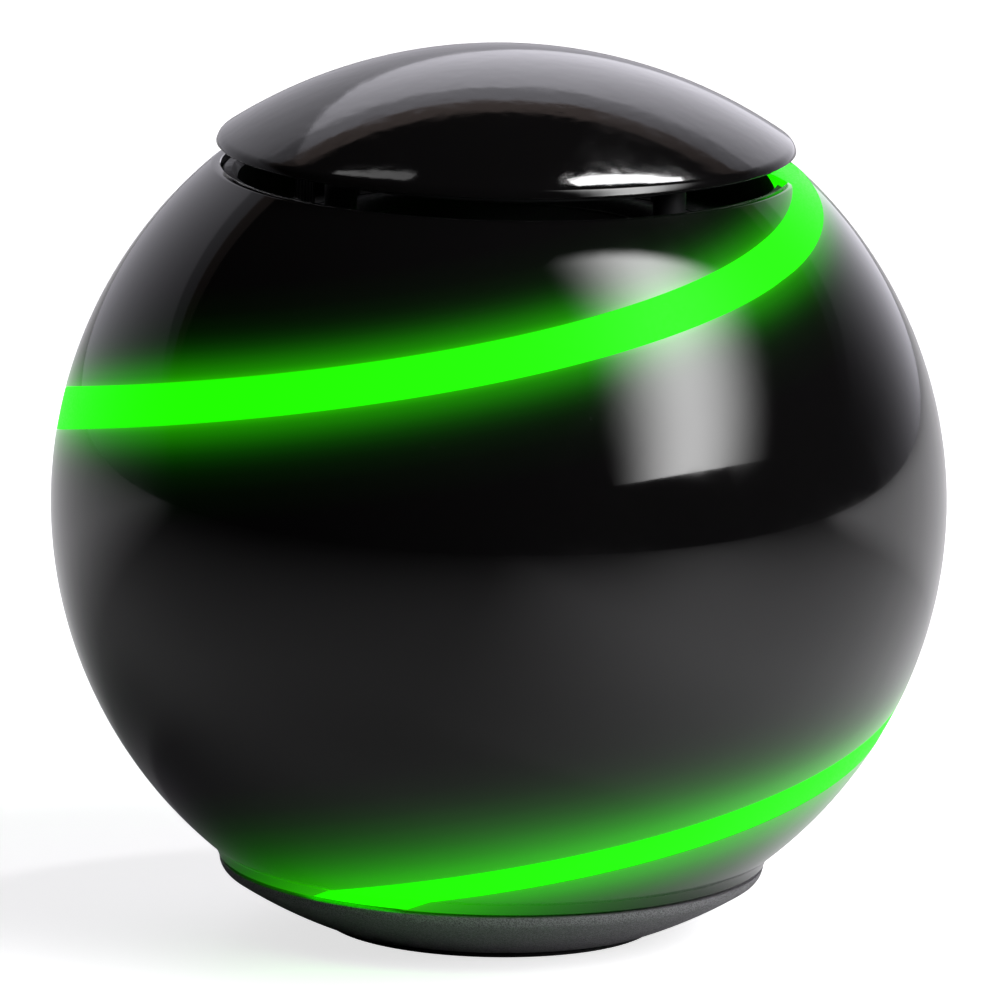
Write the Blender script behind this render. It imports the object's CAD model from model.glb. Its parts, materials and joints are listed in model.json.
"""Looks of the smart speaker: a glossy ball that turns on a matt base, with a spiral light band."""
import json
import math

import bmesh
import bpy
from mathutils import Matrix, Vector


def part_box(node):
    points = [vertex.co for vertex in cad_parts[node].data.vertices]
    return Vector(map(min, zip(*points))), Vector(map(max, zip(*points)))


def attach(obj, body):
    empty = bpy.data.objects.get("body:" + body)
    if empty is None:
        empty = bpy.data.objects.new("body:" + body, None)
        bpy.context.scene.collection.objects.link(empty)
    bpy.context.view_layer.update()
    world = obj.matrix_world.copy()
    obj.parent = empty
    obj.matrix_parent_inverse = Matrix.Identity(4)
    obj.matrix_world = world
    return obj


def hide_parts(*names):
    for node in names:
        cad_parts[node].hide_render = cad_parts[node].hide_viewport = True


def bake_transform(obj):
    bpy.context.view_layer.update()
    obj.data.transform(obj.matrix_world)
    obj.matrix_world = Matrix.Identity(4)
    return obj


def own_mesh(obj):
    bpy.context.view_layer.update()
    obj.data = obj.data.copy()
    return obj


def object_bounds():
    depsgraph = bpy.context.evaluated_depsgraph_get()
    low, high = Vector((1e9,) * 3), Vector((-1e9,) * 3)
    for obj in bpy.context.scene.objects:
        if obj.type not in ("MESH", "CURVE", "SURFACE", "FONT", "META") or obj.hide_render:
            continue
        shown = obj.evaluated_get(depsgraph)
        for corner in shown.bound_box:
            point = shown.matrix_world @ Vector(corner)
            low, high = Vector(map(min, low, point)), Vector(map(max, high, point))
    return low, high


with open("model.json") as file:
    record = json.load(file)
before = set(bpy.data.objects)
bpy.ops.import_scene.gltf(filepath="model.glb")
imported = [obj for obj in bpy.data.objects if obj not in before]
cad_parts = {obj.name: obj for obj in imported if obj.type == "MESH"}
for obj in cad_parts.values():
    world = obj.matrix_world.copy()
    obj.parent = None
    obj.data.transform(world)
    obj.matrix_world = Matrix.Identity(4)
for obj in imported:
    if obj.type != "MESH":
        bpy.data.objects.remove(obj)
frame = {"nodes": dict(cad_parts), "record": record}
cad_low, cad_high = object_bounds()

MM = 0.001

# ---- sizes, from the frame ----------------------------------------------------------------
BALL_R = (cad_high.x - cad_low.x) / 2
BALL_Z = 48 * MM
WALL = 2.5 * MM
TOP_EDGE_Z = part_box("shell_upper")[1].z
LIP_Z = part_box("shell_lower")[0].z
BORE_R = 31.7 * MM
CORNER_Z = LIP_Z + 1.25 * MM
LIP_R = 30.65 * MM
LIP_EDGE_Z = LIP_Z + 0.15 * MM
CAP_TOP_Z = cad_high.z
CAP_RIM_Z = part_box("cap_dome")[0].z
CAP_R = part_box("cap_dome")[1].x
CAP_CROWN_R = 56.4 * MM
CAP_EDGE_R = 1.46 * MM
BOWL_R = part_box("base_bowl")[1].x
BOWL_RIM_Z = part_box("base_bowl")[1].z
BOWL_LOW_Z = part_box("base_bowl")[0].z
BOWL_CROWN_R = 54.8 * MM
BOWL_EDGE_R = 1.74 * MM
FOOT_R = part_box("foot_pad")[1].x
PORT_Z = sum(c.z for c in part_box("usb_port")) / 2
PORT_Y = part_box("usb_port")[1].y

BAND_LAT = 29.44         # latitude of the light band straight ahead, in degrees
BAND_RISE = 0.21163      # degrees of latitude for each degree round the ball, straight ahead
BAND_BEND = 1.0021e-4    # how the rise changes round the ball, for the square
BAND_TWIST = 2.568e-7    # and for the cube of the longitude
BAND_HALF = 2.8          # half width of the band, in degrees of latitude
LED_WAVE = 0.668         # one wave of light for each diode, radians for each degree round the ball
BAND_FROM, BAND_TO = -420.0, 108.0
BAND_COLUMNS = 700       # steps of the wound strip along the band
BAND_SLOT = 0.05         # gap on each side of the lens, in degrees
LENS_BELOW = 0.03 * MM   # how far the lens lies under the ball's surface

ROUND = 256              # segments of a turned piece
LIGHT_GREEN = (0.013, 1.0, 0.0)
BLACK = (0.0035, 0.0033, 0.0035)
# light beside the band, by degrees from its middle, on the upper and on the lower turn
HALO_HIGH = [
    (0, 0.45), (
        2.8, 0.42
    ), (3.5, 0.27), (4, 0.21), (5, 0.138), (6, 0.080), (7, 0.042), (8, 0.021), (9, 0.0103),
    (10, 0.0056), (12, 0.0018), (16, 0.0),
]
HALO_LOW = [
    (0, 0.55), (
        2.8, 0.50
    ), (3.5, 0.42), (5, 0.33), (7, 0.225), (9, 0.145), (10, 0.115), (12, 0.069), (14, 0.040),
    (17, 0.015), (20, 0.004), (24, 0.0),
]


# ---- node helpers -------------------------------------------------------------------------
class Nodes:
    """Short way to add and link nodes in one tree."""

    def __init__(self, tree):
        self.tree = tree

    def add(self, kind, inputs=None, **settings):
        node = self.tree.nodes.new(kind)
        for name, value in settings.items():
            setattr(node, name, value)
        for name, value in (inputs or {}).items():
            self.put(node.inputs[name], value)
        return node

    def put(self, socket, value):
        if isinstance(value, bpy.types.NodeSocket):
            self.tree.links.new(value, socket)
        else:
            socket.default_value = value

    def math(self, operation, a, b=0.0, c=0.0, clamp=False):
        node = self.add("ShaderNodeMath", {0: a, 1: b, 2: c}, operation=operation, use_clamp=clamp)
        return node.outputs[0]

    def ramp(self, value, low, high, to_low=0.0, to_high=1.0, smooth=False):
        kind = "SMOOTHSTEP" if smooth else "LINEAR"
        inputs = {"Value": value, "From Min": low, "From Max": high, "To Min": to_low, "To Max": to_high}
        return self.add("ShaderNodeMapRange", inputs, interpolation_type=kind).outputs["Result"]


def band_latitude(nodes, longitude):
    """Latitude of the middle of the band at a longitude, both in degrees."""
    bend = nodes.math("MULTIPLY_ADD", longitude, BAND_TWIST, BAND_BEND)
    rise = nodes.math("MULTIPLY_ADD", longitude, bend, BAND_RISE)
    return nodes.math("MULTIPLY_ADD", longitude, rise, BAND_LAT)


def new_group(name, kind, inputs, outputs):
    """Empty node group with named sockets, its helper, and its input and output nodes."""
    tree = bpy.data.node_groups.new(name, kind)
    for title, socket_type, value in inputs:
        socket = tree.interface.new_socket(title, in_out="INPUT", socket_type=socket_type)
        if value is not None:
            socket.default_value = value
    for title, socket_type in outputs:
        tree.interface.new_socket(title, in_out="OUTPUT", socket_type=socket_type)
    nodes = Nodes(tree)
    return tree, nodes, nodes.add("NodeGroupInput").outputs, nodes.add("NodeGroupOutput").inputs


FLOAT = "NodeSocketFloat"
GEOMETRY = "NodeSocketGeometry"


# ---- shared effects -----------------------------------------------------------------------
def fine_grain_group():
    """Spark-eroded or moulded grain: a height and a mask of its pits."""
    inputs = [("Size mm", FLOAT, 0.4), ("Depth", FLOAT, 1.0)]
    tree, nodes, given, out = new_group(
        "fine_grain", "ShaderNodeTree", inputs, [("Height", FLOAT), ("Pits", FLOAT)]
    )
    place = nodes.add("ShaderNodeTexCoord").outputs["Object"]
    scale = nodes.math("DIVIDE", 1000.0, given["Size mm"])
    cells = nodes.add("ShaderNodeTexVoronoi", {"Vector": place, "Scale": scale})
    double = nodes.math("MULTIPLY", scale, 2.3)
    speckle = nodes.add(
        "ShaderNodeTexNoise", {"Vector": place, "Scale": double, "Detail": 1.0, "Roughness": 0.6}
    )
    both = nodes.math(
        "MULTIPLY_ADD", cells.outputs["Distance"], 0.6, nodes.math("MULTIPLY", speckle.outputs["Fac"], 0.6)
    )
    nodes.put(out["Height"], nodes.math("MULTIPLY", both, given["Depth"]))
    nodes.put(out["Pits"], nodes.ramp(both, 0.35, 0.75, smooth=True))
    return tree


def handling_group():
    """Soft smears and fine dust that change the gloss."""
    inputs = [
        ("Smear mm", FLOAT, 14.0), ("Dust mm", FLOAT, 0.35), ("Smear", FLOAT, 1.0), ("Dust", FLOAT, 1.0)
    ]
    outputs = [("Dulling", FLOAT), ("Dust", FLOAT)]
    tree, nodes, given, out = new_group("handling_marks", "ShaderNodeTree", inputs, outputs)
    place = nodes.add("ShaderNodeTexCoord").outputs["Object"]
    wide = nodes.math("DIVIDE", 1000.0, given["Smear mm"])
    smear = nodes.add(
        "ShaderNodeTexNoise",
        {"Vector": place, "Scale": wide, "Detail": 3.0, "Roughness": 0.62, "Distortion": 0.6},
    )
    smeared = nodes.ramp(smear.outputs["Fac"], 0.42, 0.72, smooth=True)
    narrow = nodes.math("DIVIDE", 1000.0, given["Dust mm"])
    specks = nodes.add("ShaderNodeTexVoronoi", {"Vector": place, "Scale": narrow, "Randomness": 1.0})
    near = nodes.ramp(specks.outputs["Distance"], 0.0, 0.16, 1.0, 0.0, smooth=True)
    patch = nodes.ramp(smear.outputs["Fac"], 0.5, 0.65, smooth=True)
    nodes.put(out["Dulling"], nodes.math("MULTIPLY", smeared, given["Smear"]))
    nodes.put(out["Dust"], nodes.math("MULTIPLY", nodes.math("MULTIPLY", near, patch), given["Dust"]))
    return tree


def band_group():
    """How far a point is from the middle of the spiral band, in degrees of latitude, and its longitude."""
    outputs = [("Degrees", FLOAT), ("Longitude", FLOAT), ("Latitude", FLOAT)]
    tree, nodes, _, out = new_group("band_distance", "ShaderNodeTree", [], outputs)
    place = nodes.add("ShaderNodeTexCoord").outputs["Object"]
    split = nodes.add("ShaderNodeSeparateXYZ", {"Vector": place}).outputs
    height = nodes.math("SUBTRACT", split["Z"], BALL_Z)
    across_x = nodes.math("MULTIPLY", split["X"], split["X"])
    across = nodes.math("SQRT", nodes.math("MULTIPLY_ADD", split["Y"], split["Y"], across_x))
    latitude = nodes.math("DEGREES", nodes.math("ARCTAN2", height, across))
    back = nodes.math("MULTIPLY", split["Y"], -1.0)
    longitude = nodes.math("DEGREES", nodes.math("ARCTAN2", split["X"], back))
    upper = nodes.math("SUBTRACT", latitude, band_latitude(nodes, longitude))
    turn_before = nodes.math("SUBTRACT", longitude, 360.0)
    lower = nodes.math("SUBTRACT", latitude, band_latitude(nodes, turn_before))
    near = nodes.math("MINIMUM", nodes.math("ABSOLUTE", upper), nodes.math("ABSOLUTE", lower))
    nodes.put(out["Degrees"], near)
    nodes.put(out["Longitude"], longitude)
    nodes.put(out["Latitude"], latitude)
    return tree


def brushed_group():
    """Fine lines left by turning, grinding or drawing metal."""
    inputs = [("Line mm", FLOAT, 0.12), ("Along", FLOAT, 25.0)]
    tree, nodes, given, out = new_group(
        "tool_lines", "ShaderNodeTree", inputs, [("Height", FLOAT), ("Wear", FLOAT)]
    )
    place = nodes.add("ShaderNodeTexCoord").outputs["Object"]
    split = nodes.add("ShaderNodeSeparateXYZ", {"Vector": place}).outputs
    across_x = nodes.math("MULTIPLY", split["X"], split["X"])
    radius = nodes.math("SQRT", nodes.math("MULTIPLY_ADD", split["Y"], split["Y"], across_x))
    turned = nodes.add("ShaderNodeCombineXYZ", {"X": radius, "Y": split["Z"], "Z": 0.0}).outputs[0]
    scale = nodes.math("DIVIDE", 1000.0, given["Line mm"])
    lines = nodes.add("ShaderNodeTexNoise", {"Vector": turned, "Scale": scale, "Detail": 2.0})
    broad = nodes.add(
        "ShaderNodeTexNoise", {"Vector": place, "Scale": nodes.math("DIVIDE", scale, given["Along"])}
    )
    nodes.put(out["Height"], lines.outputs["Fac"])
    nodes.put(out["Wear"], nodes.ramp(broad.outputs["Fac"], 0.35, 0.7, smooth=True))
    return tree


def orange_peel_group():
    """Long slow waves and a very fine tooth, left by polishing a moulding."""
    inputs = [("Wave mm", FLOAT, 3.0), ("Tooth mm", FLOAT, 0.16), ("Tooth", FLOAT, 0.03)]
    tree, nodes, given, out = new_group("orange_peel", "ShaderNodeTree", inputs, [("Height", FLOAT)])
    place = nodes.add("ShaderNodeTexCoord").outputs["Object"]
    slow = nodes.math("DIVIDE", 1000.0, given["Wave mm"])
    quick = nodes.math("DIVIDE", 1000.0, given["Tooth mm"])
    waves = nodes.add("ShaderNodeTexNoise", {"Vector": place, "Scale": slow, "Detail": 1.0})
    tooth = nodes.add("ShaderNodeTexNoise", {"Vector": place, "Scale": quick, "Detail": 0.0})
    both = nodes.math("MULTIPLY_ADD", tooth.outputs["Fac"], given["Tooth"], waves.outputs["Fac"])
    nodes.put(out["Height"], both)
    return tree


GRAIN = fine_grain_group()
PEEL = orange_peel_group()
HANDLING = handling_group()
BAND = band_group()
LINES = brushed_group()


# ---- materials ----------------------------------------------------------------------------
def new_material(name, colour, roughness, **constants):
    """Material with its shader, output and node helper. Constants go straight to the shader's sockets."""
    material = bpy.data.materials.new(name)
    material.use_nodes = True
    material.node_tree.nodes.clear()
    nodes = Nodes(material.node_tree)
    shader = nodes.add("ShaderNodeBsdfPrincipled", {"Base Color": (*colour, 1.0), "Roughness": roughness})
    for title, value in constants.items():
        shader.inputs[title.replace("_", " ")].default_value = value
    nodes.add("ShaderNodeOutputMaterial", {"Surface": shader.outputs[0]})
    return material, nodes, shader


def blend(nodes, share, colour, other):
    """Mix of two colours."""
    node = nodes.add("ShaderNodeMix", data_type="RGBA")
    for socket, value in ((node.inputs["Factor"], share), (node.inputs[6], colour), (node.inputs[7], other)):
        nodes.put(socket, (*value, 1.0) if isinstance(value, (tuple, list)) and len(value) == 3 else value)
    return node.outputs[2]


def use(nodes, group, **inputs):
    """Places a shared effect in a material."""
    node = nodes.add("ShaderNodeGroup", node_tree=group)
    for title, value in inputs.items():
        nodes.put(node.inputs[title.replace("_", " ")], value)
    return node.outputs


def bump(nodes, shader, height, distance_mm, strength=1.0, under=None):
    inputs = {"Height": height, "Distance": distance_mm * MM, "Strength": strength}
    if under is not None:
        inputs["Normal"] = under
    node = nodes.add("ShaderNodeBump", inputs)
    nodes.put(shader.inputs["Normal"], node.outputs["Normal"])
    return node.outputs["Normal"]


def profile(nodes, value, points):
    """Value read off a line through points (place, height). Places are in degrees."""
    span = points[-1][0]
    node = nodes.add("ShaderNodeValToRGB", {"Fac": nodes.math("DIVIDE", value, span)})
    stops = node.color_ramp.elements
    while len(stops) < len(points):
        stops.new(0.5)
    for stop, (place, height) in zip(stops, points):
        stop.position = place / span
        stop.color = (height, height, height, 1.0)
    return node.outputs["Color"]


def band_halo(nodes):
    """Green light that the band spreads over the wall beside it. It reaches further low on the ball."""
    band = use(nodes, BAND)
    high = profile(nodes, band["Degrees"], HALO_HIGH)
    low = profile(nodes, band["Degrees"], HALO_LOW)
    share = nodes.ramp(band["Latitude"], -14.0, -36.0, smooth=True)
    fall = nodes.math("MULTIPLY_ADD", share, nodes.math("SUBTRACT", low, high), high)
    return nodes.add(
        "ShaderNodeCombineColor", {"Red": nodes.math("MULTIPLY", fall, 0.04), "Green": fall}
    ).outputs[0]


def gloss_black(name, wave_depth, halo=False):
    """Piano black moulding with faint orange peel, smears and dust."""
    material, nodes, shader = new_material(
        name, BLACK, 0.06, Coat_Weight=0.5, Coat_Roughness=0.01, Coat_IOR=1.5, IOR=1.42
    )
    marks = use(nodes, HANDLING, Smear_mm=17.0, Dust_mm=0.9, Smear=0.10, Dust=0.10)
    nodes.put(shader.inputs["Roughness"], nodes.math("ADD", marks["Dulling"], 0.045))
    nodes.put(shader.inputs["Base Color"], blend(nodes, marks["Dust"], BLACK, (0.16, 0.16, 0.165)))
    peel = use(nodes, PEEL, Wave_mm=2.4, Tooth_mm=0.17, Tooth=0.08)
    bump(nodes, shader, peel["Height"], wave_depth)
    if halo:
        nodes.put(shader.inputs["Emission Color"], band_halo(nodes))
        shader.inputs["Emission Strength"].default_value = 1.0
        material.cycles.emission_sampling = "NONE"
    return material


def matte_base():
    """Fine spark-eroded black of the base."""
    material, nodes, shader = new_material("base_spark_black", (0.08, 0.076, 0.084), 0.42, IOR=1.55)
    grain = use(nodes, GRAIN, Size_mm=0.42, Depth=1.0)
    fine = use(nodes, GRAIN, Size_mm=0.17, Depth=1.0)
    marks = use(nodes, HANDLING, Smear_mm=9.0, Dust_mm=0.5, Smear=0.09, Dust=0.3)
    rough = nodes.math("ADD", nodes.ramp(grain["Pits"], 0.0, 1.0, 0.32, 0.52), marks["Dulling"], clamp=True)
    nodes.put(shader.inputs["Roughness"], rough)
    nodes.put(
        shader.inputs["Base Color"], blend(nodes, fine["Pits"], (0.055, 0.052, 0.058), (0.24, 0.228, 0.252))
    )
    coarse = bump(nodes, shader, grain["Height"], 0.05)
    bump(nodes, shader, fine["Height"], 0.03, under=coarse)
    return material


def lit_lens():
    """Frosted acrylic lit from behind, with a faint wave over the diodes and dimmer sides."""
    material, nodes, shader = new_material(
        "band_lit_lens", (0.01, 0.20, 0.005), 0.3, IOR=1.49, Specular_IOR_Level=0.06
    )
    band = use(nodes, BAND)
    wave = nodes.math("SINE", nodes.math("MULTIPLY", band["Longitude"], LED_WAVE))
    along = nodes.ramp(wave, -1.0, 1.0, 0.0, 0.06)
    side = nodes.ramp(band["Degrees"], 2.3, BAND_HALF, 0.0, 0.35, smooth=True)
    dim = nodes.math("ADD", side, along, clamp=True)
    nodes.put(shader.inputs["Emission Color"], blend(nodes, dim, LIGHT_GREEN, (0.010, 0.55, 0.0)))
    eye = nodes.add("ShaderNodeLightPath").outputs["Is Camera Ray"]
    nodes.put(shader.inputs["Emission Strength"], nodes.ramp(eye, 0.0, 1.0, 2.0, 1.12))
    frost = use(nodes, GRAIN, Size_mm=0.3, Depth=1.0)
    nodes.put(shader.inputs["Roughness"], nodes.ramp(frost["Pits"], 0.0, 1.0, 0.28, 0.42))
    bump(nodes, shader, frost["Height"], 0.002)
    return material


def moulded_plastic(name, colour, roughness=0.42, grain_mm=0.7):
    material, nodes, shader = new_material(name, colour, roughness, IOR=1.5)
    grain = use(nodes, GRAIN, Size_mm=grain_mm, Depth=1.0)
    marks = use(nodes, HANDLING, Smear_mm=8.0, Dust_mm=0.4, Smear=0.12, Dust=0.5)
    rough = nodes.math(
        "ADD", nodes.ramp(grain["Pits"], 0.0, 1.0, roughness - 0.06, roughness + 0.06), marks["Dulling"]
    )
    nodes.put(shader.inputs["Roughness"], rough)
    nodes.put(
        shader.inputs["Base Color"], blend(nodes, marks["Dust"], colour, [c * 0.7 + 0.1 for c in colour])
    )
    bump(nodes, shader, grain["Height"], 0.01)
    return material


def machined_metal(name, colour, roughness=0.28, line_mm=0.12):
    material, nodes, shader = new_material(name, colour, roughness, Metallic=1.0, Anisotropic=0.3)
    lines = use(nodes, LINES, Line_mm=line_mm, Along=20.0)
    nodes.put(
        shader.inputs["Roughness"], nodes.ramp(lines["Wear"], 0.0, 1.0, roughness - 0.08, roughness + 0.12)
    )
    nodes.put(shader.inputs["Base Color"], blend(nodes, lines["Wear"], colour, [c * 0.78 for c in colour]))
    bump(nodes, shader, lines["Height"], 0.004)
    return material


def rubber():
    material, nodes, shader = new_material(
        "foot_rubber", (0.018, 0.018, 0.019), 0.72, IOR=1.5, Sheen_Weight=0.08
    )
    grain = use(nodes, GRAIN, Size_mm=0.5, Depth=1.0)
    marks = use(nodes, HANDLING, Smear_mm=6.0, Dust_mm=0.6, Smear=0.12, Dust=1.0)
    nodes.put(
        shader.inputs["Roughness"],
        nodes.math("ADD", nodes.ramp(grain["Pits"], 0, 1, 0.6, 0.8), marks["Dulling"]),
    )
    nodes.put(
        shader.inputs["Base Color"], blend(nodes, marks["Dust"], (0.016, 0.016, 0.017), (0.13, 0.125, 0.12))
    )
    bump(nodes, shader, grain["Height"], 0.02)
    return material


def circuit_board():
    """Green solder mask over faint copper tracks."""
    material, nodes, shader = new_material("board_green_mask", (0.01, 0.09, 0.035), 0.34, Coat_Weight=0.4)
    place = nodes.add("ShaderNodeTexCoord").outputs["Object"]
    tracks = nodes.add(
        "ShaderNodeTexVoronoi", {"Vector": place, "Scale": 420.0, "Randomness": 0.55}, distance="MANHATTAN"
    )
    edge = nodes.ramp(tracks.outputs["Distance"], 0.42, 0.5, smooth=True)
    nodes.put(shader.inputs["Base Color"], blend(nodes, edge, (0.006, 0.075, 0.028), (0.02, 0.15, 0.06)))
    marks = use(nodes, HANDLING, Smear_mm=5.0, Dust_mm=0.3, Smear=0.1, Dust=0.2)
    nodes.put(shader.inputs["Roughness"], nodes.math("ADD", 0.28, marks["Dulling"]))
    bump(nodes, shader, edge, 0.03)
    return material


def woven_cloth():
    """Resin-set cotton of the driver's spider."""
    material, nodes, shader = new_material("spider_cotton", (0.5, 0.34, 0.14), 0.8, Sheen_Weight=0.3)
    place = nodes.add("ShaderNodeTexCoord").outputs["Object"]
    warp = nodes.add("ShaderNodeTexWave", {"Vector": place, "Scale": 500.0, "Distortion": 0.4})
    weft = nodes.add(
        "ShaderNodeTexWave", {"Vector": place, "Scale": 500.0, "Distortion": 0.4}, bands_direction="Y"
    )
    weave = nodes.math("MULTIPLY", warp.outputs["Fac"], weft.outputs["Fac"])
    nodes.put(shader.inputs["Base Color"], blend(nodes, weave, (0.30, 0.19, 0.07), (0.62, 0.44, 0.2)))
    nodes.put(shader.inputs["Roughness"], nodes.ramp(weave, 0, 1, 0.9, 0.7))
    bump(nodes, shader, weave, 0.08)
    return material


def striped(name, colour, gap_colour, line_mm, metallic, roughness, axis="Z"):
    """Fine parallel lines, as on a winding or a ribbon of conductors."""
    material, nodes, shader = new_material(name, colour, roughness, Metallic=metallic)
    place = nodes.add("ShaderNodeTexCoord").outputs["Object"]
    wave = nodes.add("ShaderNodeTexWave", {"Vector": place, "Scale": 160.0 / line_mm}, bands_direction=axis)
    nodes.put(shader.inputs["Base Color"], blend(nodes, wave.outputs["Fac"], gap_colour, colour))
    nodes.put(shader.inputs["Roughness"], nodes.ramp(wave.outputs["Fac"], 0, 1, roughness + 0.15, roughness))
    bump(nodes, shader, wave.outputs["Fac"], line_mm * 0.3)
    return material


def make_finishes():
    """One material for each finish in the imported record."""
    return {
        "gloss_black": gloss_black("cap_gloss_black", 0.03),
        "matte_black": matte_base(),
        "inner_black": moulded_plastic("inner_moulding_black", (0.018, 0.018, 0.02), 0.45),
        "rubber_black": rubber(),
        "lens_green": lit_lens(),
        "white_plastic": moulded_plastic("reflector_white", (0.80, 0.80, 0.77), 0.38),
        "acetal": moulded_plastic("acetal_natural", (0.70, 0.68, 0.60), 0.35),
        "bearing_steel": machined_metal("bearing_steel_ground", (0.55, 0.55, 0.56), 0.18, 0.06),
        "zinc_steel": machined_metal("screw_zinc", (0.62, 0.62, 0.64), 0.3),
        "ballast_steel": machined_metal("ballast_steel_blank", (0.36, 0.36, 0.37), 0.4, 0.3),
        "motor_steel": machined_metal("motor_can_steel", (0.58, 0.58, 0.60), 0.25),
        "brass": machined_metal("pinion_brass", (0.75, 0.55, 0.22), 0.25),
        "gold_contact": machined_metal("contact_gold", (0.85, 0.62, 0.22), 0.2, 0.05),
        "board_green": circuit_board(),
        "chip_black": moulded_plastic("chip_epoxy", (0.02, 0.02, 0.021), 0.5, 0.2),
        "tin_plate": machined_metal("socket_tin_plate", (0.66, 0.66, 0.64), 0.26, 0.2),
        "led_white": moulded_plastic("diode_white", (0.86, 0.84, 0.70), 0.3, 0.2),
        "ferrite": moulded_plastic("magnet_ferrite", (0.045, 0.045, 0.05), 0.6, 0.25),
        "plated_steel": machined_metal("driver_steel_black", (0.05, 0.05, 0.055), 0.42, 0.3),
        "paper_cone": moulded_plastic("cone_paper", (0.03, 0.03, 0.033), 0.75, 0.5),
        "copper_coil": striped("coil_copper", (0.72, 0.30, 0.12), (0.25, 0.08, 0.03), 0.15, 1.0, 0.3),
        "spider_cloth": woven_cloth(),
        "ribbon": striped("ribbon_black", (0.02, 0.02, 0.022), (0.04, 0.04, 0.043), 0.5, 0.0, 0.35, "Y"),
    }


# ---- mesh helpers -------------------------------------------------------------------------
def arc(centre, radius, start, end, count):
    """Points (r, z) along an arc, with angles in degrees from the radial direction upwards."""
    steps = [math.radians(start + (end - start) * i / count) for i in range(count + 1)]
    return [(centre[0] + radius * math.cos(a), centre[1] + radius * math.sin(a)) for a in steps]


def rounded(corners, radius, count=4):
    """Closed outline whose corners are rounded off."""
    points = []
    for i, here in enumerate(corners):
        before = Vector(corners[i - 1])
        after = Vector(corners[(i + 1) % len(corners)])
        here = Vector(here)
        back, ahead = before - here, after - here
        turn = back.angle(ahead)
        cut = min(radius / math.tan(turn / 2), back.length * 0.45, ahead.length * 0.45)
        a, b = here + back.normalized() * cut, here + ahead.normalized() * cut
        for j in range(count + 1):
            t = j / count
            points.append(tuple(a * (1 - t) ** 2 + here * 2 * t * (1 - t) + b * t ** 2))
    return points


def link(name, mesh, material, smooth_angle=35.0):
    """Object for a mesh, smooth except at sharp edges."""
    piece = bpy.data.objects.new(name, mesh)
    bpy.context.scene.collection.objects.link(piece)
    mesh.materials.clear()
    mesh.materials.append(material)
    mesh.shade_smooth()
    mesh.set_sharp_from_angle(angle=math.radians(smooth_angle))
    return piece


def turned_mesh(name, outline, segments=ROUND):
    """Closed solid of revolution of a closed outline of points (r, z). Points on the axis are shared."""
    work = bmesh.new()
    rings = []
    for r, z in outline:
        if r < 1e-7:
            rings.append([work.verts.new((0, 0, z))] * segments)
            continue
        angles = [2 * math.pi * i / segments for i in range(segments)]
        rings.append([work.verts.new((r * math.cos(a), r * math.sin(a), z)) for a in angles])
    for low, high in zip(rings, rings[1:] + rings[:1]):
        for i in range(segments):
            j = (i + 1) % segments
            loop = [low[i], low[j], high[j], high[i]]
            loop = [v for k, v in enumerate(loop) if v is not loop[k - 1]]
            if len(set(loop)) > 2:
                work.faces.new(loop)
    bmesh.ops.recalc_face_normals(work, faces=work.faces)
    mesh = bpy.data.meshes.new(name)
    work.to_mesh(mesh)
    work.free()
    return mesh


def block_mesh(name, size, centre, corner=0.0):
    """Box with rounded upright or sideways edges, for cutting or small parts."""
    work = bmesh.new()
    bmesh.ops.create_cube(work, size=1.0)
    bmesh.ops.scale(work, vec=size, verts=work.verts)
    bmesh.ops.translate(work, vec=centre, verts=work.verts)
    if corner:
        along_y = [e for e in work.edges if abs((e.verts[0].co - e.verts[1].co).y) > size[1] * 0.9]
        bmesh.ops.bevel(work, geom=along_y, offset=corner, segments=5, profile=0.5, affect="EDGES")
    mesh = bpy.data.meshes.new(name)
    work.to_mesh(mesh)
    work.free()
    return mesh


def cut(piece, cutter_mesh, keep="DIFFERENCE"):
    """Boolean of a piece with a closed mesh, applied."""
    cutter = bpy.data.objects.new("cutter", cutter_mesh)
    bpy.context.scene.collection.objects.link(cutter)
    step = piece.modifiers.new("cut", "BOOLEAN")
    step.operation, step.solver, step.object = keep, "EXACT", cutter
    apply_all(piece)
    bpy.data.objects.remove(cutter)


def apply_all(piece):
    """Replaces a piece's mesh by what its modifiers make of it."""
    graph = bpy.context.evaluated_depsgraph_get()
    made = bpy.data.meshes.new_from_object(
        piece.evaluated_get(graph), preserve_all_data_layers=True, depsgraph=graph
    )
    piece.modifiers.clear()
    piece.data = made


def clean(piece, gap=2e-6):
    """Merges doubled points and turns faces outwards."""
    work = bmesh.new()
    work.from_mesh(piece.data)
    bmesh.ops.remove_doubles(work, verts=work.verts, dist=gap)
    bmesh.ops.recalc_face_normals(work, faces=work.faces)
    work.to_mesh(piece.data)
    work.free()


def set_ball_normals(mesh):
    """Exact normals on the ball's outer face, so that its reflections run clean past every cut."""
    centre = Vector((0, 0, BALL_Z))
    normals = [Vector(n.vector) for n in mesh.corner_normals]
    for face in mesh.polygons:
        on_ball = all(abs((mesh.vertices[v].co - centre).length - BALL_R) < 0.03 * MM for v in face.vertices)
        if on_ball and (face.center - centre).normalized().dot(face.normal) > 0.9:
            for corner, v in zip(face.loop_indices, face.vertices):
                normals[corner] = (mesh.vertices[v].co - centre).normalized()
    mesh.normals_split_custom_set(normals)


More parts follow.
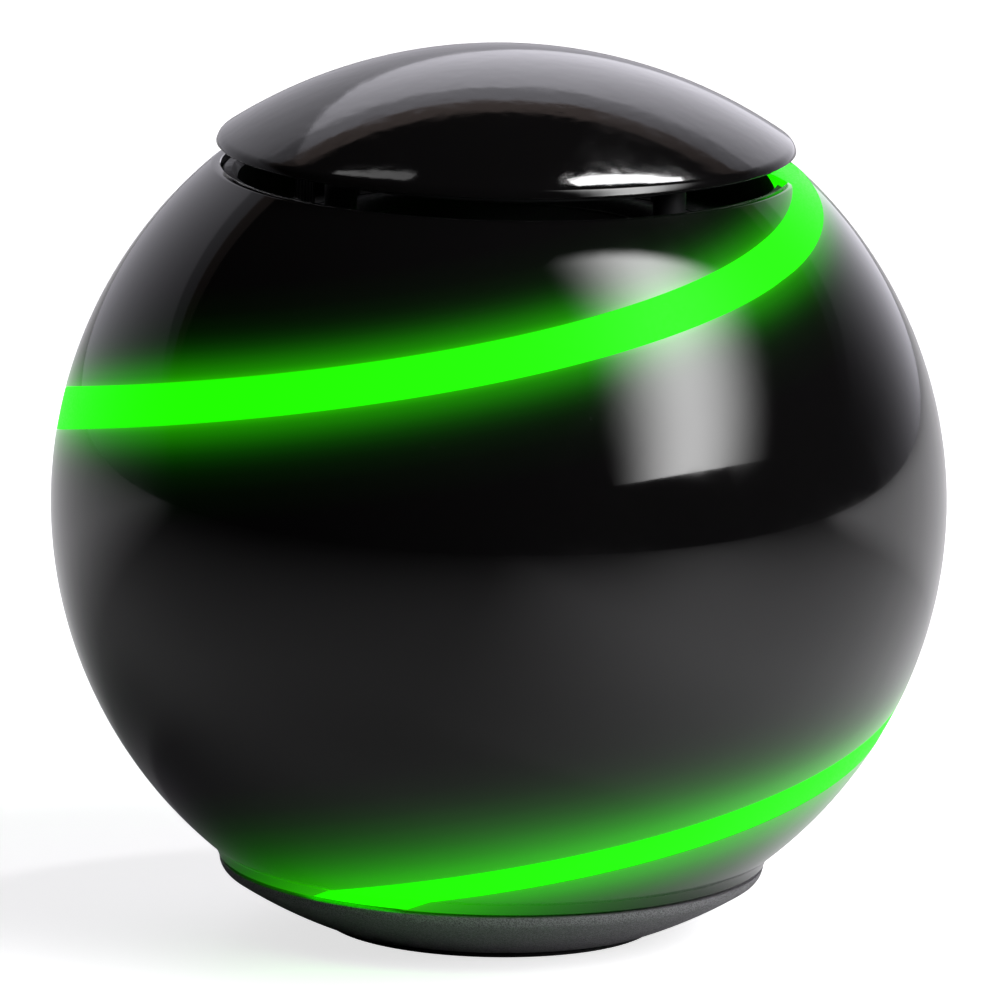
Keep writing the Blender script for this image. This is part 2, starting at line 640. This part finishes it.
# ---- the wound strip ----------------------------------------------------------------------
def wound_strip_tree():
    """Geometry tree: a strip that climbs round the ball at a steady rate, with the given offsets."""
    inputs = [
        ("Geometry", GEOMETRY, None), ("From", FLOAT, BAND_FROM), ("To", FLOAT, BAND_TO),
        ("Low", FLOAT, -BAND_HALF), ("High", FLOAT, BAND_HALF), ("Radius", FLOAT, BALL_R),
        ("Columns", "NodeSocketInt", 500), ("Rows", "NodeSocketInt", 9), (
            "Material", "NodeSocketMaterial", None
        ),
    ]
    tree, nodes, given, out = new_group("wound_strip", "GeometryNodeTree", inputs, [("Geometry", GEOMETRY)])
    grid = nodes.add(
        "GeometryNodeMeshGrid",
        {"Size X": 1.0, "Size Y": 1.0, "Vertices X": given["Columns"], "Vertices Y": given["Rows"]},
    )
    place = nodes.add(
        "ShaderNodeSeparateXYZ", {"Vector": nodes.add("GeometryNodeInputPosition").outputs[0]}
    ).outputs
    longitude = nodes.ramp(place["X"], -0.5, 0.5, given["From"], given["To"])
    offset = nodes.ramp(place["Y"], -0.5, 0.5, given["Low"], given["High"])
    lat = nodes.math("RADIANS", nodes.math("ADD", offset, band_latitude(nodes, longitude)))
    lon = nodes.math("RADIANS", longitude)
    across = nodes.math("MULTIPLY", nodes.math("COSINE", lat), given["Radius"])
    x = nodes.math("MULTIPLY", across, nodes.math("SINE", lon))
    y = nodes.math("MULTIPLY", nodes.math("MULTIPLY", across, nodes.math("COSINE", lon)), -1.0)
    z = nodes.math("MULTIPLY_ADD", nodes.math("SINE", lat), given["Radius"], BALL_Z)
    spot = nodes.add("ShaderNodeCombineXYZ", {"X": x, "Y": y, "Z": z}).outputs[0]
    moved = nodes.add("GeometryNodeSetPosition", {"Geometry": grid.outputs["Mesh"], "Position": spot})
    real = nodes.add("GeometryNodeRealizeInstances", {"Geometry": moved.outputs[0]})
    painted = nodes.add(
        "GeometryNodeSetMaterial", {"Geometry": real.outputs[0], "Material": given["Material"]}
    )
    nodes.put(out["Geometry"], painted.outputs[0])
    return tree


def from_tree(name, tree, material, **values):
    """Plain mesh made by a geometry tree with the given named inputs."""
    holder = bpy.data.objects.new(name, bpy.data.meshes.new(name))
    bpy.context.scene.collection.objects.link(holder)
    step = holder.modifiers.new("made", "NODES")
    step.node_group = tree
    sockets = {s.name: s.identifier for s in tree.interface.items_tree if s.in_out == "INPUT"}
    for title, value in {**values, "Material": material}.items():
        if title in sockets:
            step[sockets[title]] = value
    apply_all(holder)
    mesh = holder.data
    bpy.data.objects.remove(holder)
    return mesh


def thick_strip(name, tree, material, low, high, r_in, r_out, columns, rows):
    """Closed mesh between two wound strips of different radius."""
    values = {"From": BAND_FROM, "To": BAND_TO, "Low": low, "High": high, "Columns": columns, "Rows": rows}
    outer = from_tree(name, tree, material, Radius=r_out, **values)
    inner = from_tree(name + "_inner", tree, material, Radius=r_in, **values)
    work = bmesh.new()
    work.from_mesh(outer)
    count = len(work.verts)
    work.from_mesh(inner)
    work.verts.index_update()
    work.verts.ensure_lookup_table()
    edges = [e for e in work.edges if e.is_boundary and e.verts[0].index < count]
    for edge in edges:
        a, b = (v.index for v in edge.verts)
        work.faces.new([work.verts[i] for i in (a, b, b + count, a + count)])
    bmesh.ops.recalc_face_normals(work, faces=work.faces)
    work.to_mesh(outer)
    work.free()
    return outer


# ---- pieces -------------------------------------------------------------------------------
def ball_outline():
    """Section of the ball's wall, with rounded edges at its opening and lip."""
    low = math.degrees(math.asin((CORNER_Z - BALL_Z) / BALL_R))
    high = math.degrees(math.asin((TOP_EDGE_Z - BALL_Z) / BALL_R))
    inside_r = BALL_R - WALL
    bore_z = BALL_Z + math.sqrt(inside_r ** 2 - BORE_R ** 2)
    floor_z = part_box("slip_ring")[0].z
    floor_low = floor_z - 1.2 * MM
    hole_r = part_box("upper_race")[1].x - 2.8 * MM
    inner_low = math.degrees(math.asin((floor_z - BALL_Z) / inside_r))
    inner_high = math.degrees(math.asin((bore_z - BALL_Z) / inside_r))
    outside = arc((0, BALL_Z), BALL_R, low, high, 132)
    top_r = outside[-1][0]
    rim = [(top_r - 0.18 * MM, TOP_EDGE_Z), (BORE_R + 0.1 * MM, TOP_EDGE_Z), (BORE_R, TOP_EDGE_Z - 0.1 * MM)]
    outside[-1] = (top_r + 0.12 * MM, TOP_EDGE_Z - 0.14 * MM)
    inside = arc((0, BALL_Z), inside_r, inner_high, inner_low, 60)
    inner_lip = LIP_R - 1.2 * MM
    bottom = [
        (hole_r, floor_z), (hole_r, floor_low), (inner_lip, floor_low), (inner_lip, LIP_Z),
        (LIP_R - 0.2 * MM, LIP_Z), (LIP_R, LIP_EDGE_Z),
    ]
    return outside + rim + inside + bottom


def make_ball(tree, shell_finish, lens_finish):
    """Turned shell with the spiral slot cut through it, and the lens that fills the slot."""
    shell = link("ball_shell", turned_mesh("ball_shell", ball_outline(), 360), shell_finish)
    slot = BAND_SLOT
    fin = thick_strip(
        "fin", tree, shell_finish, -BAND_HALF - slot, BAND_HALF + slot,
        BALL_R - 4 * MM, BALL_R + 2 * MM, BAND_COLUMNS, 2,
    )
    cut(shell, fin)
    clean(shell)
    shell.data.shade_smooth()
    shell.data.set_sharp_from_angle(angle=math.radians(30))
    set_ball_normals(shell.data)
    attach(shell, "shell")
    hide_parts("shell_upper", "shell_lower")

    mesh = thick_strip(
        "light_band_lens", tree, lens_finish, -BAND_HALF, BAND_HALF,
        BALL_R - WALL, BALL_R - LENS_BELOW, BAND_COLUMNS, 7,
    )
    work = bmesh.new()
    work.from_mesh(mesh)
    everything = work.verts[:] + work.edges[:] + work.faces[:]
    bmesh.ops.bisect_plane(work, geom=everything, plane_co=(0, 0, CORNER_Z), plane_no=(0, 0, 1), dist=1e-7)
    fit_to_lip(work)
    for level, side in ((TOP_EDGE_Z - 0.05 * MM, 1), (LIP_EDGE_Z, -1)):
        everything = work.verts[:] + work.edges[:] + work.faces[:]
        cut_here = bmesh.ops.bisect_plane(
            work, geom=everything, plane_co=(0, 0, level), plane_no=(0, 0, side), clear_outer=True, dist=1e-7
        )["geom_cut"]
        rim_edges = [e for e in cut_here if isinstance(e, bmesh.types.BMEdge)]
        bmesh.ops.holes_fill(work, edges=rim_edges, sides=0)
    bmesh.ops.recalc_face_normals(work, faces=work.faces)
    work.to_mesh(mesh)
    work.free()
    lens = link("light_band_lens", mesh, lens_finish)
    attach(lens, "shell")
    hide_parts("light_band")
    return shell, lens


def fit_to_lip(work):
    """Brings the lens's outer face in to the ball's lower lip, each point along its own radius."""
    centre = Vector((0, 0, BALL_Z))
    corner_r = math.sqrt(BALL_R ** 2 - (CORNER_Z - BALL_Z) ** 2)
    slope = (LIP_R - corner_r) / (CORNER_Z - LIP_EDGE_Z)
    start = corner_r + slope * (CORNER_Z - BALL_Z)
    for vertex in work.verts:
        arm = vertex.co - centre
        if vertex.co.z < CORNER_Z and arm.length > BALL_R - 0.2 * MM:
            reach = start / (math.hypot(arm.x, arm.y) + slope * arm.z)
            vertex.co = centre + arm * (reach - LENS_BELOW / BALL_R)


def cap_outline():
    """Section of the domed cap, from the middle of the crown to its rim and back inside."""
    centre_z = CAP_TOP_Z - CAP_CROWN_R
    edge_r = CAP_R - CAP_EDGE_R
    meet = math.degrees(math.atan2(CAP_RIM_Z - centre_z, edge_r))
    crown = arc((0, centre_z), CAP_CROWN_R, 90, meet, 44)
    crown[0] = (0.0, CAP_TOP_Z)
    edge = arc((edge_r, CAP_RIM_Z), CAP_EDGE_R, meet, 0, 8)[1:]
    inner_crown_r = CAP_CROWN_R - 1.6 * MM
    inner_r = 30.35 * MM
    start = math.degrees(math.acos(inner_r / inner_crown_r))
    inside = arc((0, centre_z), inner_crown_r, start, 90, 30)
    inside[-1] = (0.0, centre_z + inner_crown_r)
    rim = [
        (CAP_R - 0.24 * MM, CAP_RIM_Z),
        (inner_r + 0.2 * MM, CAP_RIM_Z), (inner_r, CAP_RIM_Z + 0.05 * MM),
    ]
    edge[-1] = (CAP_R, CAP_RIM_Z + 0.2 * MM)
    return crown + edge + rim + inside


def make_cap(finish):
    cap = link("cap_cover", turned_mesh("cap_cover", cap_outline()), finish)
    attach(cap, "cap")
    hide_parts("cap_dome")


def bowl_outline():
    """Section of the base bowl, from the middle of its underside outwards and back inside."""
    edge = (BOWL_R - BOWL_EDGE_R, BOWL_RIM_Z)
    span = BOWL_CROWN_R - BOWL_EDGE_R
    centre_z = BOWL_RIM_Z + math.sqrt(span ** 2 - edge[0] ** 2)
    meet = math.degrees(math.atan2(BOWL_RIM_Z - centre_z, edge[0]))
    flat_r = math.sqrt(BOWL_CROWN_R ** 2 - (centre_z - BOWL_LOW_Z) ** 2)
    start = -math.degrees(math.acos(flat_r / BOWL_CROWN_R))
    foot_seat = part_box("foot_pad")[1].z
    recess_r = FOOT_R + 0.05 * MM
    under = [
        (0.0, foot_seat),
        (recess_r, foot_seat),
        (recess_r, BOWL_LOW_Z + 0.05 * MM),
        (recess_r + 0.05 * MM, BOWL_LOW_Z),
    ]
    under.append((flat_r - 1.6 * MM, BOWL_LOW_Z))
    under.append((flat_r - 0.5 * MM, BOWL_LOW_Z + 0.08 * MM))
    crown = arc((0, centre_z), BOWL_CROWN_R, start, meet, 24)[2:]
    side = arc(edge, BOWL_EDGE_R, meet, -3, 8)[1:]
    rim_in = BOWL_R - 1.7 * MM
    rim = [(BOWL_R, BOWL_RIM_Z - 0.06 * MM), (BOWL_R - 0.1 * MM, BOWL_RIM_Z), (rim_in, BOWL_RIM_Z)]
    inner_r = BOWL_CROWN_R - 1.8 * MM
    floor_z = BOWL_LOW_Z + 2.0 * MM
    inner_start = -math.degrees(math.acos((rim_in - 0.6 * MM) / inner_r))
    inner_end = -math.degrees(math.asin((centre_z - floor_z) / inner_r))
    inside = arc((0, centre_z), inner_r, inner_start, inner_end, 12)
    return under + crown + side + rim + inside + [(0.0, floor_z)]


def make_base(finish):
    """Bowl with the notch that takes the plug's grip, and the hole for the socket."""
    bowl = link("base_cup", turned_mesh("base_cup", bowl_outline()), finish)
    notch_low, notch_high = 1.1 * MM, BOWL_RIM_Z + 2 * MM
    middle = (notch_low + notch_high) / 2
    notch = block_mesh(
        "notch", (13 * MM, 14 * MM, notch_high - notch_low), (0, PORT_Y + 7 * MM, middle), 1.2 * MM
    )
    cut(bowl, notch)
    mouth = block_mesh("mouth", (9.2 * MM, 14 * MM, 3.5 * MM), (0, PORT_Y - 5 * MM, PORT_Z), 1.6 * MM)
    cut(bowl, mouth)
    clean(bowl)
    bowl.data.shade_smooth()
    bowl.data.set_sharp_from_angle(angle=math.radians(32))
    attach(bowl, "base")
    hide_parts("base_bowl")


def foot_outline():
    """Section of the rubber pad with ring grooves moulded in its underside."""
    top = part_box("foot_pad")[1].z
    points = [(0.0, 0.0)]
    for i in range(6):
        r = (4.0 + 2.2 * i) * MM
        groove, depth = 0.5 * MM, 0.35 * MM
        points += [(r - groove, 0.0), (r - groove * 0.6, depth), (r + groove * 0.6, depth), (r + groove, 0.0)]
    edge = arc((FOOT_R - 0.3 * MM, 0.3 * MM), 0.3 * MM, -90, 0, 5)
    return points + edge + [(FOOT_R, top - 0.02 * MM), (0.0, top - 0.02 * MM)]


def make_foot(finish):
    foot = link("foot_pad_moulded", turned_mesh("foot_pad_moulded", foot_outline()), finish)
    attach(foot, "base")
    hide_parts("foot_pad")


def contact_row_tree():
    """Geometry tree: a row of equal flat contacts across a plug's tongue."""
    inputs = [
        ("Geometry", GEOMETRY, None), ("Count", "NodeSocketInt", 12), ("Pitch", FLOAT, 0.5 * MM),
        ("Place", "NodeSocketVector", (0, 0, 0)), ("Size", "NodeSocketVector", (1, 1, 1)),
        ("Material", "NodeSocketMaterial", None),
    ]
    tree, nodes, given, out = new_group("contact_row", "GeometryNodeTree", inputs, [("Geometry", GEOMETRY)])
    step = nodes.add("ShaderNodeCombineXYZ", {"X": given["Pitch"]}).outputs[0]
    row = nodes.add(
        "GeometryNodeMeshLine", {"Count": given["Count"], "Start Location": given["Place"], "Offset": step}
    )
    bar = nodes.add("GeometryNodeMeshCube", {"Size": given["Size"]})
    placed = nodes.add(
        "GeometryNodeInstanceOnPoints", {"Points": row.outputs[0], "Instance": bar.outputs["Mesh"]}
    )
    real = nodes.add("GeometryNodeRealizeInstances", {"Geometry": placed.outputs[0]})
    painted = nodes.add(
        "GeometryNodeSetMaterial", {"Geometry": real.outputs[0], "Material": given["Material"]}
    )
    nodes.put(out["Geometry"], painted.outputs[0])
    return tree


def make_contacts(finish):
    """Gold contacts on the upper face of the socket's tongue."""
    count, pitch = 12, 0.5 * MM
    place = (-(count - 1) * pitch / 2, PORT_Y - 4.2 * MM, PORT_Z + 0.36 * MM)
    mesh = from_tree(
        "socket_contacts", contact_row_tree(), finish, Count=count, Pitch=pitch, Place=place,
        Size=(0.26 * MM, 3.2 * MM, 0.05 * MM),
    )
    row = link("socket_contacts", mesh, finish)
    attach(row, "base")


def paint_cad_nodes(finishes):
    """Gives every carried-over CAD node the finish of its slot."""
    slots = {entry["node"]: entry["material_slot"] for entry in frame["record"]["subparts"]}
    for name, node in frame["nodes"].items():
        node.data.materials.clear()
        node.data.materials.append(finishes[slots[name]])


def soft_copy(name, node, finishes):
    """Stand-in for a soft CAD node, with the same shape and finish, that may change shape at a pose."""
    slots = {entry["node"]: entry["material_slot"] for entry in frame["record"]["subparts"]}
    mesh = frame["nodes"][node].data.copy()
    mesh.transform(frame["nodes"][node].matrix_world)
    piece = link(name, mesh, finishes[slots[node]])
    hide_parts(node)
    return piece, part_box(node)


def make_soft_parts(finishes):
    """Springs and dome that shorten under the cap, and the two rings that hold the cone to its frame."""
    for name, node in (("cap_springs_wound", "return_springs"), ("cap_switch_rubber", "switch_dome")):
        piece, (low, high) = soft_copy(name, node, finishes)
        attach(piece, "base")
        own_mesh(piece)
    for name, node in (("cone_surround_roll", "surround"), ("cone_spider_cloth", "spider")):
        piece, (low, high) = soft_copy(name, node, finishes)
        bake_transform(piece)


# ---- studio -------------------------------------------------------------------------------
LAMP_DISTANCE = 1.5      # metres from the ball's centre
# name, azimuth, elevation, shift, size, radiance, lean, half width of its soft glow
LAMPS = [
    ("window_box", 64, 42, (0.09, 0.04), (1.5, 1.16), 9.5, -5.6, 0.355),
    ("rim_spot_right", 140, 62, (-0.035, 0.02), (0.075, 0.36), 18.0, -11.6, 0.0),
    ("rim_spot_left", -140, 62, (0.045, -0.01), (0.07, 0.25), 1.0, 9.0, 0.0),
]
WINDOW_TILT = -0.27      # how far the window's glow slants, across for each share up
WINDOW_MIDDLE = 0.307    # middle of its glow across, as a share of its width
WINDOW_FALL = 1.5        # how quickly the glow falls to its sides
WINDOW_TOP_SLOPE = 0.776
WINDOW_TOP = (1.17, 1.26)
ROOM_STRIPS = [(0.78, 0.82, 0.56), (0.99, 1.03, 0.36), (1.20, 1.25, 0.0)]  # from, to, share of light left
ROOM_LIGHT = 1.34
ROOM_DARK = 0.005
TABLE_FALL_R = 0.27      # where the lit part of the table has fallen by half, metres
TABLE_GLOW = 0.72        # keeps shadows on the table pale
TABLE_Z = -0.02 * MM     # just under the foot, so the two never lie in one plane


def direction(azimuth, elevation):
    """Unit vector to a place seen from the object. Azimuth 0 is the front, 90 is to the right."""
    a, e = math.radians(azimuth), math.radians(elevation)
    return Vector((math.cos(e) * math.sin(a), -math.cos(e) * math.cos(a), math.sin(e)))


def soft_box(name, azimuth, elevation, shift, size, radiance, lean, soft_sides):
    """Area light square to the ball's centre. Shift and size are shares of its distance."""
    toward = direction(azimuth, elevation)
    level = Vector((0, 0, 1)).cross(toward).normalized()
    upward = toward.cross(level)
    light = bpy.data.lights.new(name, "AREA")
    light.shape = "RECTANGLE"
    light.size, light.size_y = size[0] * LAMP_DISTANCE, size[1] * LAMP_DISTANCE
    light.energy = radiance * math.pi * light.size * light.size_y
    lamp = bpy.data.objects.new(name, light)
    bpy.context.scene.collection.objects.link(lamp)
    turn = Matrix((level, upward, toward)).transposed() @ Matrix.Rotation(math.radians(lean), 3, "Z")
    place = (toward + level * shift[0] + upward * shift[1]) * LAMP_DISTANCE + Vector((0, 0, BALL_Z))
    lamp.matrix_world = Matrix.Translation(place) @ turn.to_4x4()
    lamp.visible_camera = False
    if soft_sides:
        light.use_nodes = True
        nodes = Nodes(light.node_tree)
        light.node_tree.nodes.clear()
        across = nodes.add("ShaderNodeNewGeometry").outputs["Parametric"]
        place = nodes.add("ShaderNodeSeparateXYZ", {"Vector": across}).outputs
        leaning = nodes.math("MULTIPLY_ADD", place["Y"], WINDOW_TILT, place["X"])
        beside = nodes.math("ABSOLUTE", nodes.math("SUBTRACT", leaning, WINDOW_MIDDLE))
        sides = nodes.math("POWER", nodes.ramp(beside, 0.0, soft_sides, 1.0, 0.0, smooth=True), WINDOW_FALL)
        slant = nodes.math("MULTIPLY_ADD", place["X"], WINDOW_TOP_SLOPE, place["Y"])
        top = nodes.ramp(slant, *WINDOW_TOP, 1.0, 0.0, smooth=True)
        glow = nodes.add("ShaderNodeEmission", {"Strength": nodes.math("MULTIPLY", sides, top)})
        nodes.add("ShaderNodeOutputLight", {"Surface": glow.outputs[0]})


def make_world():
    """Pale room to the eye. What the gloss sees is a bright wall behind the ball, with two darker strips
    over it, dimmer to the left, and a dark room in front and overhead."""
    world = bpy.data.worlds.new("studio")
    bpy.context.scene.world = world
    world.use_nodes = True
    world.node_tree.nodes.clear()
    nodes = Nodes(world.node_tree)
    way = nodes.add("ShaderNodeTexCoord").outputs["Generated"]
    split = nodes.add("ShaderNodeSeparateXYZ", {"Vector": way}).outputs
    deep = nodes.math("MAXIMUM", split["Y"], 0.05)
    rise = nodes.math("DIVIDE", split["Z"], deep)
    side = nodes.math("DIVIDE", split["X"], deep)
    lift = nodes.math("MULTIPLY_ADD", nodes.math("MAXIMUM", split["X"], 0.0), 0.2, rise)
    flat = nodes.math(
        "SQRT",
        nodes.math("MULTIPLY_ADD", split["Y"], split["Y"], nodes.math("MULTIPLY", split["X"], split["X"])),
    )
    square = nodes.math("MAXIMUM", nodes.math("DIVIDE", split["Y"], nodes.math("MAXIMUM", flat, 0.01)), 0.0)
    narrow = nodes.ramp(split["X"], -0.12, 0.12, 1.7, 4.1, smooth=True)
    level = nodes.math("POWER", square, narrow)
    for low, high, share in ROOM_STRIPS:
        level = nodes.math("MULTIPLY", level, nodes.ramp(lift, low, high, 1.0, share, smooth=True))
    slope = nodes.math("MULTIPLY_ADD", side, 1.3, rise)
    level = nodes.math("MULTIPLY", level, nodes.ramp(slope, 0.155, 0.185, 0.40, 1.0, smooth=True))
    level = nodes.math("MULTIPLY_ADD", level, ROOM_LIGHT, ROOM_DARK)
    brown = nodes.ramp(lift, 0.99, 1.03, smooth=True)
    tone = blend(nodes, brown, (0.97, 0.95, 1.04), (1.0, 0.80, 0.74))
    seen = nodes.add("ShaderNodeBackground", {"Color": (0.97, 0.97, 0.98, 1.0), "Strength": 1.0})
    lit = nodes.add("ShaderNodeBackground", {"Color": tone, "Strength": level})
    path = nodes.add("ShaderNodeLightPath").outputs["Is Camera Ray"]
    mix = nodes.add("ShaderNodeMixShader", {"Fac": path, 1: lit.outputs[0], 2: seen.outputs[0]})
    nodes.add("ShaderNodeOutputWorld", {"Surface": mix.outputs[0]})


def make_floor():
    """Plain pale table top. In the gloss it falls dark away from the ball, like a lit table at night."""
    material, nodes, shader = new_material("table_pale", (0.88, 0.87, 0.89), 0.6, IOR=1.3)
    split = nodes.add(
        "ShaderNodeSeparateXYZ", {"Vector": nodes.add("ShaderNodeTexCoord").outputs["Object"]}
    ).outputs
    across_x = nodes.math("MULTIPLY", split["X"], split["X"])
    away = nodes.math("SQRT", nodes.math("MULTIPLY_ADD", split["Y"], split["Y"], across_x))
    share = nodes.math("DIVIDE", away, TABLE_FALL_R)
    fall = nodes.math("DIVIDE", 1.15, nodes.math("MULTIPLY_ADD", share, share, 1.0), clamp=True)
    fall = nodes.math("MULTIPLY", fall, nodes.ramp(split["X"], -0.03, 0.10, 0.34, 0.98, smooth=True))
    behind = nodes.math(
        "MULTIPLY", nodes.ramp(
            split["Y"], -0.04, 0.16, smooth=True
        ), nodes.ramp(split["X"], -0.2, 0.1, 0.85, 0.95)
    )
    eye = nodes.add("ShaderNodeLightPath").outputs["Is Camera Ray"]
    keep = nodes.math("MAXIMUM", nodes.math("MAXIMUM", fall, behind), eye)
    nodes.put(shader.inputs["Base Color"], blend(nodes, keep, (0.02, 0.02, 0.02), (0.88, 0.87, 0.89)))
    nodes.put(shader.inputs["Emission Strength"], nodes.math("MULTIPLY", eye, TABLE_GLOW))
    shader.inputs["Emission Color"].default_value = (1.0, 1.0, 1.0, 1.0)
    material.cycles.emission_sampling = "NONE"
    outline = arc((0, 0), 1.4, 0, 360, 96)[:-1]
    mesh = bpy.data.meshes.new("table_top")
    mesh.from_pydata([(x, y, TABLE_Z) for x, y in outline], [], [list(range(len(outline)))])
    floor = link("table_top", mesh, material)


def make_camera():
    """Long lens a little above the ball, leaning slightly."""
    elevation, lean = 11.6, 1.21
    across = 111.6 * MM
    lens = 600.0
    data = bpy.data.cameras.new("camera")
    data.sensor_width = 36.0
    data.lens = lens
    camera = bpy.data.objects.new("camera", data)
    bpy.context.scene.collection.objects.link(camera)
    distance = across * lens / data.sensor_width
    back = direction(0, elevation)
    camera.location = Vector((0, 0, BALL_Z)) + back * distance
    camera.rotation_mode = "QUATERNION"
    camera.rotation_quaternion = (-back).to_track_quat("-Z", "Y")
    camera.rotation_mode = "XYZ"
    camera.rotation_euler.rotate_axis("Z", math.radians(lean))
    data.shift_x, data.shift_y = 0.0012, 0.001
    data.clip_end = 20.0
    bpy.context.scene.camera = camera


def make_studio():
    make_world()
    make_floor()
    for lamp in LAMPS:
        soft_box(*lamp)
    make_camera()
    bpy.context.scene.view_settings.view_transform = "Standard"


# ---- all together -------------------------------------------------------------------------
finishes = make_finishes()
strip = wound_strip_tree()
paint_cad_nodes(finishes)
make_ball(strip, gloss_black("ball_gloss_black", 0.005, halo=True), finishes["lens_green"])
make_cap(finishes["gloss_black"])
make_base(finishes["matte_black"])
make_foot(finishes["rubber_black"])
make_contacts(finishes["gold_contact"])
make_soft_parts(finishes)
make_studio()
